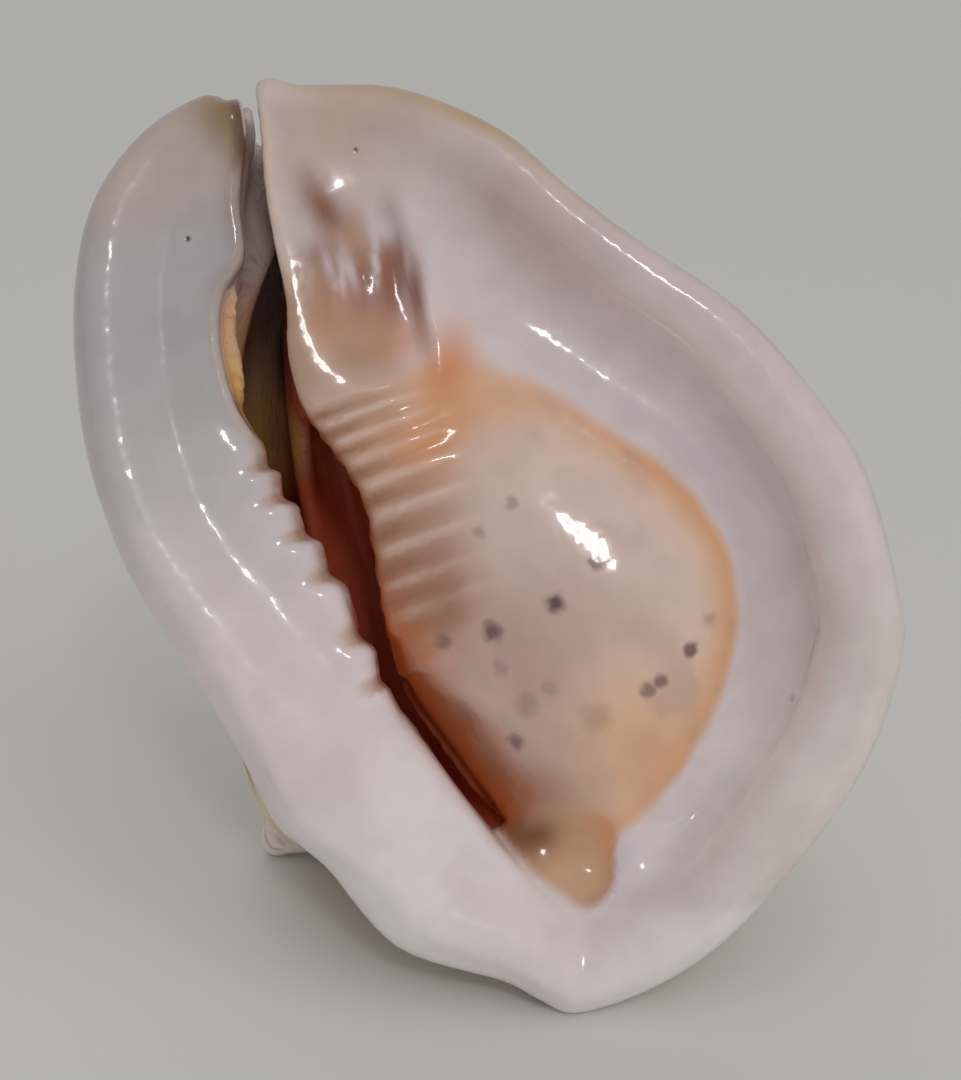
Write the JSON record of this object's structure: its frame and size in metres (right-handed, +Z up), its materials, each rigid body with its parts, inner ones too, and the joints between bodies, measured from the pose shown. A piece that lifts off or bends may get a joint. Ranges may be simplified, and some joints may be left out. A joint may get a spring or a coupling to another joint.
{
  "type": "horned helmet shell",
  "caption": "Large glossy horned helmet sea shell with a broad shield face, toothed lip and blunt horns, resting on its back edge and horns for display.",
  "frame": {"origin": "on the surface it rests on, under the middle of its bounding box", "axes": "+Z up as it rests, -Y towards the side the face looks to, +X to the right seen from the face"},
  "size_m": [0.2172, 0.1672, 0.2285],
  "materials": {
    "shell": "glossy"
  },
  "bodies": {
    "root": {"shell": "shell"}
  },
  "joints": []
}
